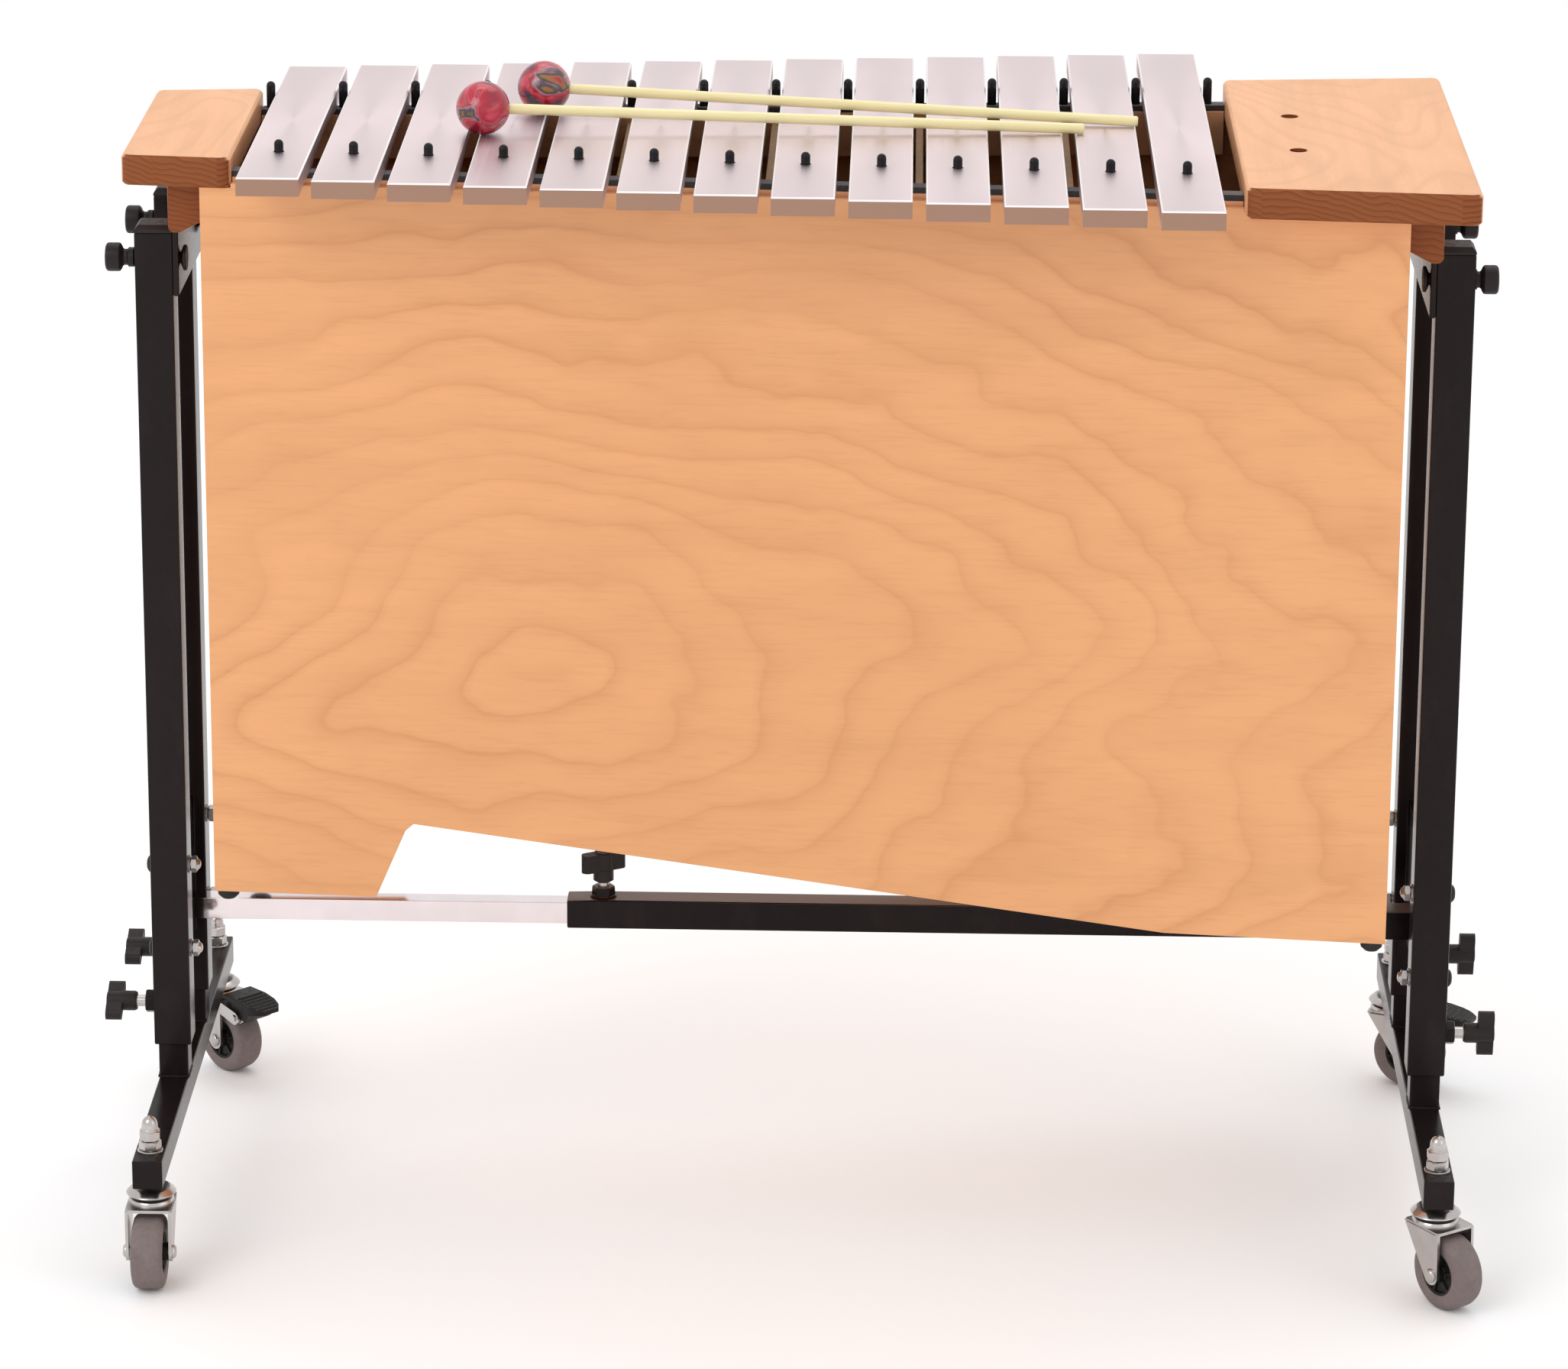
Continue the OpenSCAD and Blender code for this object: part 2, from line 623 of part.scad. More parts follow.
// Ribbed foot pedal hinged between the ears of the fork, beyond the tyre
module brake_pedal(s, t, turn) {
    color(black) castor_place(s, t, turn) {
        rod_x(-leg_x - leg_t - 1, leg_x + leg_t + 1, pedal_y, pedal_z, pedal_pin_d);
        intersection() {
            translate([-pedal_half, 0, 0]) rotate([90, 0, 90]) linear_extrude(2 * pedal_half)
                polygon([[-22, 58.4], [-22, 61.5], [-40, 61.5], [-62, 57.5], [-62, 54.5], [-50, 52.5], [-46, 46.5],
                         [-41.5, 43.8], [-36, 43.8], [-33, 50], [-30, 58.4]]);
            linear_extrude(100) polygon([[-pedal_half, -20], [pedal_half, -20], [pedal_half, -50], [10.5, -57],
                                         [6, -62.5], [-6, -62.5], [-10.5, -57], [-pedal_half, -50]]);
        }
        translate([0, pedal_y, 61.5]) for (i = [0 : 5]) rotate([i > 0 ? 10.3 : 0, 0, 0])
            span([i > 4 ? -7.5 : -10.5, -1.9 - 4 * i, -1], [i > 4 ? 7.5 : 10.5, -4 * i, 0.9]);
    }
}

/* ---------- one line for each node ---------- */

for (i = [0 : bar_count - 1]) bar(i);
front_panel();
back_panel();
end_panels();
partitions();
bar_rails();
felt_strips();
bar_pins();
end_blocks();
hanging_cleats();
rubber_feet();
mallet_head(mallet_1, mallet_1_turn);  // mallet_1_head
mallet_handle(mallet_1, mallet_1_turn);  // mallet_1_handle
mallet_head(mallet_2, mallet_2_turn);  // mallet_2_head
mallet_handle(mallet_2, mallet_2_turn);  // mallet_2_handle
outer_posts(-1);  // outer_posts_left
post_caps(-1);  // post_caps_left
support_plate(-1);  // support_plate_left
frame_bolts(-1);  // frame_bolts_left
crossbar_inner();
outer_posts(1);  // outer_posts_right
post_caps(1);  // post_caps_right
support_plate(1);  // support_plate_right
frame_bolts(1);  // frame_bolts_right
crossbar_outer();
crossbar_knob();
base_frame(-1);  // base_frame_left
castor_studs(-1);  // castor_studs_left
base_frame(1);  // base_frame_right
castor_studs(1);  // castor_studs_right
castor_fork(-1, -1, 0);  // castor_fork_fl
castor_wheel(-1, -1, 0);  // castor_wheel_fl
castor_fork(1, -1, 35);  // castor_fork_fr
castor_wheel(1, -1, 35);  // castor_wheel_fr
castor_fork(-1, 1, 45, true);  // castor_fork_rl
castor_wheel(-1, 1, 45);  // castor_wheel_rl
brake_pedal(-1, 1, 45);  // brake_pedal_rl
castor_fork(1, 1, 65, true);  // castor_fork_rr
castor_wheel(1, 1, 65);  // castor_wheel_rr
brake_pedal(1, 1, 65);  // brake_pedal_rr
clamp_screw(-1, post_ys(-1)[0]);  // clamp_screw_lf
clamp_screw(-1, post_ys(-1)[1]);  // clamp_screw_lr
clamp_screw(1, post_ys(1)[0]);  // clamp_screw_rf
clamp_screw(1, post_ys(1)[1]);  // clamp_screw_rr
lock_knob(-1, post_ys(-1)[0], 58);  // lock_knob_lf
lock_knob(-1, post_ys(-1)[1], 62);  // lock_knob_lr
lock_knob(1, post_ys(1)[0], 4);  // lock_knob_rf
lock_knob(1, post_ys(1)[1], 8);  // lock_knob_rr
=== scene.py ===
import bpy, bmesh, json, math, random
from mathutils import Vector, Matrix


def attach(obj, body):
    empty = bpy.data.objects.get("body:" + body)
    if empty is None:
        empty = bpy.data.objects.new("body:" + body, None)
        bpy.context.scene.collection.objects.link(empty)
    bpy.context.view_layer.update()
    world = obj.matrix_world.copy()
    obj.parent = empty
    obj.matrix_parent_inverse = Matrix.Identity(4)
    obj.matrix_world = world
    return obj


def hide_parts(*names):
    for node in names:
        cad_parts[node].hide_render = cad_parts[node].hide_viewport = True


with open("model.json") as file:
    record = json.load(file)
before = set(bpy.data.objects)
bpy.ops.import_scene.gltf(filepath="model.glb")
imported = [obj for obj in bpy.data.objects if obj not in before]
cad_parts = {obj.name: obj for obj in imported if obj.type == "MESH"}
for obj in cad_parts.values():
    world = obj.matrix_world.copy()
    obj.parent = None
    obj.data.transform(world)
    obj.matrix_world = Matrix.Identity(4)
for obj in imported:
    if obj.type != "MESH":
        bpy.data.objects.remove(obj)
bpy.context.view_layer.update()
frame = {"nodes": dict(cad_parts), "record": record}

MM = 0.001
BODY_OF = {node: body for body, nodes in frame["record"]["behaviour"]["bodies"].items()
           for node in nodes}
random.seed(7)


# ---------------------------------------------------------------- materials

class Mat:
    """A node material with small helpers for building procedural looks."""

    def __init__(self, name, **fixed):
        self.m = bpy.data.materials.new(name)
        self.m.use_nodes = True
        self.t = self.m.node_tree
        self.b = self.t.nodes["Principled BSDF"]
        for k, v in fixed.items():
            self.b.inputs[k.replace("_", " ")].default_value = v

    def node(self, kind, **props):
        n = self.t.nodes.new("ShaderNode" + kind)
        for k, v in props.items():
            setattr(n, k, v)
        return n

    def put(self, value, socket):
        if isinstance(value, bpy.types.NodeSocket):
            self.t.links.new(value, socket)
        else:
            socket.default_value = value

    def coord(self, scale=(1, 1, 1), turn=(0, 0, 0), shift=(0, 0, 0)):
        c = self.node("TexCoord")
        p = self.node("Mapping")
        p.inputs["Scale"].default_value = scale
        p.inputs["Rotation"].default_value = turn
        p.inputs["Location"].default_value = shift
        self.put(c.outputs["Object"], p.inputs["Vector"])
        return p.outputs["Vector"]

    def noise(self, vec, scale, detail=3.0, rough=0.5, distort=0.0):
        n = self.node("TexNoise")
        self.put(vec, n.inputs["Vector"])
        n.inputs["Scale"].default_value = scale
        n.inputs["Detail"].default_value = detail
        n.inputs["Roughness"].default_value = rough
        n.inputs["Distortion"].default_value = distort
        return n.outputs["Fac"]

    def voronoi(self, vec, scale, feature="F1"):
        n = self.node("TexVoronoi", feature=feature)
        self.put(vec, n.inputs["Vector"])
        n.inputs["Scale"].default_value = scale
        return n.outputs["Distance"]

    def ramp(self, fac, stops, smooth=False):
        n = self.node("ValToRGB")
        r = n.color_ramp
        if smooth:
            r.interpolation = "B_SPLINE"
        while len(r.elements) < len(stops):
            r.elements.new(0.5)
        for e, (p, c) in zip(r.elements, stops):
            e.position = p
            e.color = (c, c, c, 1) if isinstance(c, (int, float)) else (*c, 1)
        self.put(fac, n.inputs["Fac"])
        return n.outputs["Color"]

    def math(self, op, a, b=0.0, c=0.0):
        n = self.node("Math", operation=op)
        for s, v in zip(n.inputs, (a, b, c)):
            self.put(v, s)
        return n.outputs[0]

    def mul(self, a, b):
        return self.math("MULTIPLY", a, b)

    def add(self, a, b):
        return self.math("ADD", a, b)

    def mix(self, fac, a, b):
        n = self.node("Mix", data_type="RGBA", blend_type="MIX")
        self.put(fac, n.inputs[0])
        for v, s in ((a, n.inputs[6]), (b, n.inputs[7])):
            self.put(v if isinstance(v, bpy.types.NodeSocket) else (*v, 1), s)
        return n.outputs[2]

    def bump(self, height, strength, distance):
        n = self.node("Bump")
        n.inputs["Strength"].default_value = strength
        n.inputs["Distance"].default_value = distance
        self.put(height, n.inputs["Height"])
        return n.outputs["Normal"]

    def axis(self, name):
        c = self.node("TexCoord")
        s = self.node("SeparateXYZ")
        self.put(c.outputs["Object"], s.inputs[0])
        return s.outputs[name]

    def facing(self):
        """The parts of the face's own normal, as outputs X, Y and Z."""
        g = self.node("NewGeometry")
        s = self.node("SeparateXYZ")
        self.put(g.outputs["True Normal"], s.inputs[0])
        return s.outputs

    def painted_edge_highlight(self, start, end):
        """1 on outer edges, 0 elsewhere: the mask for edges painted paler as a highlight."""
        g = self.node("NewGeometry")
        return self.ramp(g.outputs["Pointiness"], [(start, 0.0), (end, 1.0)])

    def done(self, color=None, rough=None, normal=None):
        for v, k in ((color, "Base Color"), (rough, "Roughness"), (normal, "Normal")):
            if v is not None:
                self.put(v, self.b.inputs[k])
        return self.m


HEART_X, HEART_Z, HEART_SQUASH = -0.15, 0.40, 0.48
RINGS_PER_METRE = 37.0


def veneer_material():
    """Light veneer: rings around one heart, bent by hills and waves, plus streaks and fine pores."""
    m = Mat("veneer", Coat_Weight=0.05, Coat_Roughness=0.3, Specular_IOR_Level=0.35)
    # Nested flat ellipses, as a knife leaves them in a gently bulging trunk
    hills = m.noise(m.coord((1, 1, 1.5), shift=(0.35, 0.2, 0.6)), 4.6, 1.5, 0.4)
    waves = m.noise(m.coord((1, 1, 1.3), shift=(2, 0, 1)), 21.0, 1.5, 0.5)
    to_right = m.ramp(m.add(m.mul(m.axis("X"), 1.1), 0.45), [(0.0, 0.35), (1.0, 1.0)])
    fine = m.noise(m.coord((0.05, 1, 1)), 220, 3, 0.6)
    streak = m.noise(m.coord((0.22, 1, 1), shift=(4, 2, 6)), 34, 3, 0.55, 0.5)
    across = m.mul(m.add(m.axis("X"), -HEART_X), HEART_SQUASH)
    above = m.math("SUBTRACT", m.axis("Z"), HEART_Z)
    field = m.math("SQRT", m.add(m.mul(across, across), m.mul(above, above)))
    field = m.add(field, m.mul(hills, 0.155))
    field = m.add(field, m.mul(m.mul(waves, to_right), 0.034))
    rings = m.math("FRACT", m.mul(field, RINGS_PER_METRE))
    band = m.ramp(rings, [(0.0, 0.85), (0.09, 0.50), (0.32, 0.12), (0.80, 0.0), (0.95, 0.35),
                          (1.0, 0.85)])
    tone = m.noise(m.coord((1, 1, 0.6), shift=(3, 1, 2)), 2.6, 2, 0.5)
    depth = m.noise(m.coord((1, 1, 1.4), shift=(8, 1, 4)), 4.0, 1, 0.4)
    depth = m.ramp(depth, [(0.3, 0.35), (0.65, 1.0)])
    pale = m.ramp(tone, [(0.3, (0.690, 0.324, 0.138)), (0.7, (0.745, 0.362, 0.162))], True)
    dark = m.ramp(tone, [(0.3, (0.50, 0.200, 0.070)), (0.7, (0.54, 0.222, 0.084))], True)
    col = m.mix(m.mul(m.mul(band, depth), 0.72), pale, dark)
    soft = m.ramp(streak, [(0.42, 0.0), (0.66, 1.0)], True)
    col = m.mix(m.mul(soft, 0.26), col, (0.50, 0.215, 0.082))
    pores = m.noise(m.coord((0.03, 1, 1), shift=(7, 0, 0)), 420, 2, 0.6)
    pores = m.ramp(pores, [(0.36, 0.0), (0.48, 1.0)])
    col = m.mix(m.mul(m.math("SUBTRACT", 1.0, pores), 0.10), col, (0.42, 0.18, 0.07))
    col = m.mix(m.mul(fine, 0.07), col, (0.86, 0.52, 0.28))
    rough = m.ramp(m.add(m.mul(band, 0.2), m.mul(fine, 0.8)), [(0.2, 0.40), (0.8, 0.52)])
    h = m.add(m.mul(pores, 0.6), m.mul(band, 0.15))
    return m.done(col, rough, m.bump(h, 0.12, 0.0004))


def ply_material():
    """Bare ply with a straight grain and faint layers."""
    m = Mat("ply_light", IOR=1.45)
    layers = m.math("FRACT", m.mul(m.axis("X"), 700.0))
    grain = m.noise(m.coord((1, 1, 0.06)), 120, 3, 0.6)
    col = m.ramp(grain, [(0.3, (0.56, 0.33, 0.17)), (0.7, (0.68, 0.43, 0.24))])
    col = m.mix(m.mul(m.ramp(layers, [(0.4, 0.0), (0.6, 1.0)]), 0.15), col, (0.5, 0.3, 0.16))
    return m.done(col, m.ramp(grain, [(0.2, 0.5), (0.8, 0.65)]), m.bump(grain, 0.15, 0.0003))


def beech_material(name, along, face_shade=1.0, end_shade=1.0):
    """Solid beech: long grain with small rays on the faces, dark growth bands on the end grain.

    along is the axis of the grain; the two factors after it darken the long faces and the ends, to paint
    shade.
    """
    m = Mat(name, Coat_Weight=0.02, Coat_Roughness=0.25, Specular_IOR_Level=0.14)

    def stretched(k):
        return (k, 1, 1) if along == "X" else (1, k, 1)

    def shade(red, green, blue):
        return red * face_shade, green * face_shade, blue * face_shade

    fibres = m.noise(m.coord(stretched(0.06)), 95, 4, 0.62)
    bands = m.noise(m.coord(stretched(0.35), shift=(1, 2, 0)), 26, 2, 0.5, 0.4)
    flecks = m.noise(m.coord(stretched(0.18), shift=(4, 0, 3)), 520, 1, 0.5)
    flecks = m.ramp(flecks, [(0.62, 0.0), (0.70, 1.0)])
    face = m.ramp(m.add(m.mul(fibres, 0.6), m.mul(bands, 0.4)),
                  [(0.3, shade(0.66, 0.335, 0.170)), (0.5, shade(0.75, 0.400, 0.215)),
                   (0.7, shade(0.79, 0.430, 0.240))], True)
    face = m.mix(m.mul(flecks, 0.10), face, (0.46, 0.21, 0.09))
    # Broad arches of the growth rings on the flat faces
    arch = m.noise(m.coord(stretched(0.42), shift=(2.3, 0.4, 0)), 7.5, 1.2, 0.4, 0.3)
    arch = m.ramp(m.math("FRACT", m.mul(arch, 15.0)), [(0.0, 0.8), (0.25, 0.1), (0.8, 0.0), (1.0, 0.8)])
    face = m.mix(m.mul(arch, 0.34), face, shade(0.56, 0.27, 0.125))
    # End grain: staves glued side by side, each with its own ring direction
    across = m.mul(m.axis("X" if along == "Y" else "Y"), 24.0)
    stave = m.math("FLOOR", across)
    jitter = m.math("FRACT", m.mul(m.math("SINE", m.mul(stave, 12.99)), 437.5))
    z = m.axis("Z")
    ring = m.add(m.mul(z, 260.0), m.mul(m.mul(m.math("SUBTRACT", jitter, 0.5), across), 7.0))
    ring = m.math("FRACT", m.add(ring, m.mul(m.noise(m.coord(), 30, 2), 4.0)))
    end = m.ramp(ring, [(0.0, (0.235, 0.068, 0.020)), (0.55, (0.21, 0.058, 0.016)),
                        (0.9, (0.13, 0.032, 0.008)), (1.0, (0.235, 0.068, 0.020))])
    end = m.mix(m.mul(jitter, 0.3), end, (0.27, 0.088, 0.030))
    # Painted shade: the end grain darkens towards near black as its factor falls below 1
    end = m.mix(1.0 - end_shade, end, (0.02, 0.004, 0.001))
    is_end = m.ramp(m.math("ABSOLUTE", m.facing()[along]), [(0.35, 0.0), (0.6, 1.0)])
    col = m.mix(is_end, face, end)
    rough = m.ramp(fibres, [(0.2, 0.34), (0.8, 0.46)])
    return m.done(col, rough, m.bump(fibres, 0.08, 0.0003))


def bar_material():
    """Satin aluminium, brushed along the bar, with light handling marks."""
    m = Mat("bar_aluminium", Metallic=1.0, Anisotropic=0.45, Anisotropic_Rotation=0.0)
    brush = m.noise(m.coord((1, 0.012, 1)), 900, 3, 0.65)
    cloud = m.noise(m.coord((1, 0.5, 1)), 16, 3, 0.5)
    spots = m.ramp(m.voronoi(m.coord(), 130), [(0.0, 1.0), (0.09, 0.0)])
    patches = m.ramp(m.noise(m.coord(shift=(2, 2, 2)), 40, 1), [(0.55, 0.0), (0.65, 1.0)])
    spots = m.mul(spots, patches)
    info = m.node("ObjectInfo")
    col = m.ramp(cloud, [(0.3, (0.66, 0.555, 0.565)), (0.7, (0.72, 0.605, 0.615))], True)
    col = m.mix(m.mul(info.outputs["Random"], 0.18), col, (0.62, 0.52, 0.54))
    col = m.mix(m.mul(brush, 0.14), col, (0.80, 0.72, 0.72))
    # Painted reflection: the end faces of the bars are painted a dark warm brown, for the darker
    # surroundings they would reflect
    normal = m.facing()
    is_end = m.ramp(m.math("ABSOLUTE", normal["Y"]), [(0.80, 0.0), (0.92, 1.0)])
    col = m.mix(is_end, col, (0.37, 0.225, 0.165))
    # Painted highlight: the small chamfers that slant upward are painted near white, as if they caught
    # the light
    up = normal["Z"]
    cut = m.mul(m.ramp(up, [(0.45, 0.0), (0.55, 1.0)]), m.ramp(up, [(0.85, 1.0), (0.93, 0.0)]))
    col = m.mix(m.mul(cut, 0.9), col, (0.97, 0.94, 0.93))
    col = m.mix(m.mul(spots, 0.25), col, (0.45, 0.38, 0.38))
    rough = m.add(m.mul(brush, 0.14), m.mul(cloud, 0.10))
    rough = m.add(rough, 0.30)
    return m.done(col, rough, m.bump(brush, 0.10, 0.00012))


def powder_material(name, top_sheen=0.0):
    """Black powder coat with a fine orange peel and edges painted paler as a highlight; the second
    argument paints a lighter sheen on what faces up.
    """
    m = Mat(name, Specular_IOR_Level=0.12)
    peel = m.noise(m.coord(), 620, 2, 0.55)
    cloud = m.noise(m.coord(), 7, 3, 0.5)
    dust = m.ramp(m.noise(m.coord((1, 1, 0.4), shift=(5, 5, 5)), 55, 4, 0.65), [(0.52, 0.0), (0.75, 1.0)])
    col = m.ramp(cloud, [(0.3, (0.0085, 0.0050, 0.0052)), (0.7, (0.0125, 0.0080, 0.0080))], True)
    col = m.mix(m.mul(dust, 0.04), col, (0.12, 0.095, 0.095))
    # Painted sheen: the faces that point up are painted lighter, as if lit from above
    up = m.ramp(m.facing()["Z"], [(0.80, 0.0), (0.96, 1.0)])
    col = m.mix(m.mul(up, top_sheen), col, (0.21, 0.180, 0.174))
    # Painted highlight: the outer edges are painted paler
    col = m.mix(m.mul(m.painted_edge_highlight(0.52, 0.62), 0.12), col, (0.06, 0.050, 0.050))
    rough = m.add(m.mul(peel, 0.16), m.add(m.mul(cloud, 0.06), 0.10))
    return m.done(col, rough, m.bump(peel, 0.14, 0.0002))


def plastic_material(name, base, light, rough0, grain=420.0, bump=0.25):
    """Moulded plastic with a spark-eroded grain."""
    m = Mat(name, Specular_IOR_Level=0.2)
    g = m.voronoi(m.coord(), grain, "SMOOTH_F1")
    n = m.noise(m.coord(), 30, 3, 0.5)
    col = m.ramp(n, [(0.3, base), (0.7, light)], True)
    # Painted highlight: the outer edges are painted paler
    col = m.mix(m.mul(m.painted_edge_highlight(0.53, 0.65), 0.12), col, tuple(c * 2 + 0.02 for c in light))
    rough = m.add(m.mul(g, 0.25), rough0)
    return m.done(col, rough, m.bump(g, bump, 0.0002))


def metal_material(name, low, high, rough0, span, scale=120.0, stretch=(1, 1, 1), blotch=0.06):
    """Plated or polished metal with faint streaks."""
    m = Mat(name, Metallic=1.0)
    s = m.noise(m.coord(stretch), scale, 3, 0.6)
    c = m.noise(m.coord(), 45, 3, 0.55)
    col = m.ramp(c, [(0.3, low), (0.7, high)], True)
    col = m.mix(m.mul(s, blotch), col, tuple(v * 0.72 for v in low))
    rough = m.add(m.mul(s, span), rough0)
    return m.done(col, rough, m.bump(s, 0.02, 0.0001))


def felt_material():
    """Dark pressed felt."""
    m = Mat("felt", Sheen_Weight=0.5, Sheen_Roughness=0.5)
    f = m.noise(m.coord(), 900, 4, 0.7, 0.6)
    col = m.ramp(f, [(0.3, (0.012, 0.010, 0.011)), (0.7, (0.040, 0.034, 0.035))])
    return m.done(col, m.ramp(f, [(0.2, 0.85), (0.8, 1.0)]), m.bump(f, 0.7, 0.0008))


def tyre_material():
    """Grey rubber with patches of dirt."""
    m = Mat("tyre_grey", Specular_IOR_Level=0.35)
    g = m.noise(m.coord(), 300, 4, 0.65)
    dirt = m.noise(m.coord(shift=(1, 4, 2)), 60, 4, 0.6)
    col = m.ramp(g, [(0.3, (0.150, 0.118, 0.112)), (0.7, (0.195, 0.152, 0.146))])
    col = m.mix(m.ramp(dirt, [(0.5, 0.0), (0.8, 0.35)]), col, (0.09, 0.07, 0.062))
    return m.done(col, m.ramp(g, [(0.2, 0.55), (0.8, 0.75)]), m.bump(g, 0.3, 0.0003))


def mallet_material(name, shift, turn):
    """Marbled rubber: long swirls of crimson, pink and dark pigments."""
    m = Mat(name, Coat_Weight=0.35, Coat_Roughness=0.08, Specular_IOR_Level=0.4)
    v = m.coord((1, 1, 1), turn=turn, shift=shift)
    w = m.node("TexNoise")
    m.put(v, w.inputs["Vector"])
    w.inputs["Scale"].default_value = 24
    w.inputs["Detail"].default_value = 1.5
    add = m.node("VectorMath", operation="MULTIPLY_ADD")
    m.put(w.outputs["Color"], add.inputs[0])
    add.inputs[1].default_value = (0.035, 0.035, 0.035)
    m.put(v, add.inputs[2])
    swirl = m.node("Mapping")
    m.put(add.outputs[0], swirl.inputs["Vector"])
    swirl.inputs["Scale"].default_value = (1, 0.30, 0.75)
    n = m.noise(swirl.outputs[0], 62, 2.4, 0.5, 0.6)
    stops = [(0.0, (0.020, 0.012, 0.022)), (0.33, (0.022, 0.030, 0.034)), (0.38, (0.075, 0.020, 0.055)),
             (0.42, (0.26, 0.012, 0.030)), (0.49, (0.40, 0.012, 0.030)), (0.535, (0.56, 0.06, 0.10)),
             (0.56, (0.33, 0.010, 0.022)), (0.60, (0.34, 0.20, 0.22)), (0.62, (0.12, 0.045, 0.08)),
             (0.655, (0.030, 0.055, 0.045)), (0.69, (0.30, 0.13, 0.03)), (0.74, (0.38, 0.012, 0.022))]
    col = m.ramp(n, stops)
    fine = m.noise(v, 260, 2, 0.5)
    return m.done(col, m.ramp(fine, [(0.3, 0.16), (0.7, 0.28)]), m.bump(fine, 0.08, 0.0002))


def handle_material():
    """Pale yellow glass-fibre rod with faint long fibres."""
    m = Mat("handle_rod", Coat_Weight=0.35, Coat_Roughness=0.12, Subsurface_Weight=0.05)
    f = m.noise(m.coord((0.02, 1, 1)), 700, 3, 0.6)
    c = m.noise(m.coord((0.4, 1, 1)), 20, 2, 0.5)
    col = m.ramp(m.add(m.mul(f, 0.5), m.mul(c, 0.5)),
                 [(0.3, (0.70, 0.60, 0.30)), (0.7, (0.78, 0.70, 0.40))])
    return m.done(col, m.ramp(f, [(0.3, 0.26), (0.7, 0.40)]), m.bump(f, 0.08, 0.0001))


VENEER = veneer_material()
PLY = ply_material()
BLOCK = beech_material("beech_block", "Y")
# Painted shade: the cleats sit in the shade under the end blocks, so their faces and ends are painted a
# little darker
CLEAT = beech_material("beech_cleat", "Y", 0.97, end_shade=0.95)
RAIL = beech_material("beech_rail", "X")
BAR = bar_material()
POWDER = powder_material("powder_coat")
# The crossbar's powder coat, with a painted sheen on its top faces
POWDER_BAR = powder_material("powder_coat_bar", 0.9)
# Name, base and light colour, roughness, then grain and bump where they are not the usual ones
KNOB = plastic_material("knob_plastic", (0.0125, 0.0090, 0.0090), (0.021, 0.0155, 0.0152), 0.30)
CAP = plastic_material("cap_plastic", (0.011, 0.0080, 0.0080), (0.019, 0.0145, 0.0142), 0.36)
PEDAL = plastic_material("pedal_plastic", (0.011, 0.0082, 0.0080), (0.019, 0.0145, 0.0140), 0.36)
RUBBER = plastic_material("foot_rubber", (0.016, 0.014, 0.014), (0.028, 0.024, 0.024), 0.62, 250.0, 0.4)
SLEEVE = plastic_material("pin_sleeve", (0.0045, 0.0040, 0.0052), (0.009, 0.0080, 0.0105), 0.22,
                          600.0, 0.15)
HUB = plastic_material("wheel_hub", (0.0075, 0.0055, 0.0055), (0.013, 0.010, 0.010), 0.36)
CHROME = metal_material("chrome", (0.74, 0.665, 0.675), (0.81, 0.735, 0.745), 0.06, 0.06, 300.0,
                        (0.02, 1, 1), 0.05)
ZINC = metal_material("zinc_plate", (0.42, 0.395, 0.385), (0.58, 0.550, 0.535), 0.20, 0.08)
FELT = felt_material()
TYRE = tyre_material()
BALL_1 = mallet_material("mallet_rubber_1", (0.31, 0.12, 0.05), (0.2, 0.9, 0.5))
BALL_2 = mallet_material("mallet_rubber_2", (0.83, 0.42, 0.27), (0.7, 0.3, 1.1))
ROD = handle_material()

LOOK = {
    "front_panel": VENEER, "back_panel": VENEER, "end_panels": VENEER, "partitions": PLY,
    "bar_rails": RAIL, "felt_strips": FELT, "bar_pins": SLEEVE, "end_blocks": BLOCK,
    "hanging_cleats": CLEAT, "rubber_feet": RUBBER, "mallet_1_head": BALL_1, "mallet_2_head": BALL_2,
    "mallet_1_handle": ROD, "mallet_2_handle": ROD, "crossbar_inner": CHROME,
    "crossbar_outer": POWDER_BAR,
}
PREFIX_LOOK = {"bar_": BAR, "outer_posts": POWDER, "support_plate": POWDER, "base_frame": POWDER,
               "post_caps": CAP, "brake_pedal": PEDAL}


def look_of(node):
    """The material of a node that keeps its CAD shape."""
    if node in LOOK:
        return LOOK[node]
    return next(m for start, m in PREFIX_LOOK.items() if node.startswith(start))


# ---------------------------------------------------------------- geometry helpers

JOINTS = {j["name"]: j for j in frame["record"]["behaviour"]["joints"]}
SHARP_EDGE = math.radians(34)
ROUNDED_EDGE = math.radians(28)
FLAT_EDGE = math.radians(0.8)
PIN_REACH = 2.6 * MM
SHOWN = set()


def from_axle(point, joint):
    """Distance of a point from a hinge's axis."""
    j = JOINTS[joint]
    d = point - Vector(j["pos_m"])
    a = Vector(j["axis"]).normalized()
    return (d - a * d.dot(a)).length


def to_object(bm, name, looks):
    """A bmesh as an object. Materials go in first: added later, they reset the faces' indices."""
    me = bpy.data.meshes.new(name)
    for m in looks:
        me.materials.append(m)
    bm.to_mesh(me)
    bm.free()
    ob = bpy.data.objects.new(name, me)
    bpy.context.scene.collection.objects.link(ob)
    return ob


def show(bm, node, looks):
    """Turns a bmesh into the shown piece of a CAD node, on the same body."""
    bmesh.ops.recalc_face_normals(bm, faces=bm.faces)
    for f in bm.faces:
        f.smooth = True
    for e in bm.edges:
        e.smooth = len(e.link_faces) == 2 and e.calc_face_angle(3) < SHARP_EDGE
    ob = to_object(bm, "looks_" + node, looks)
    ob.modifiers.new("shading", "WEIGHTED_NORMAL").keep_sharp = True
    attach(ob, BODY_OF[node])
    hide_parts(node)
    SHOWN.add(node)


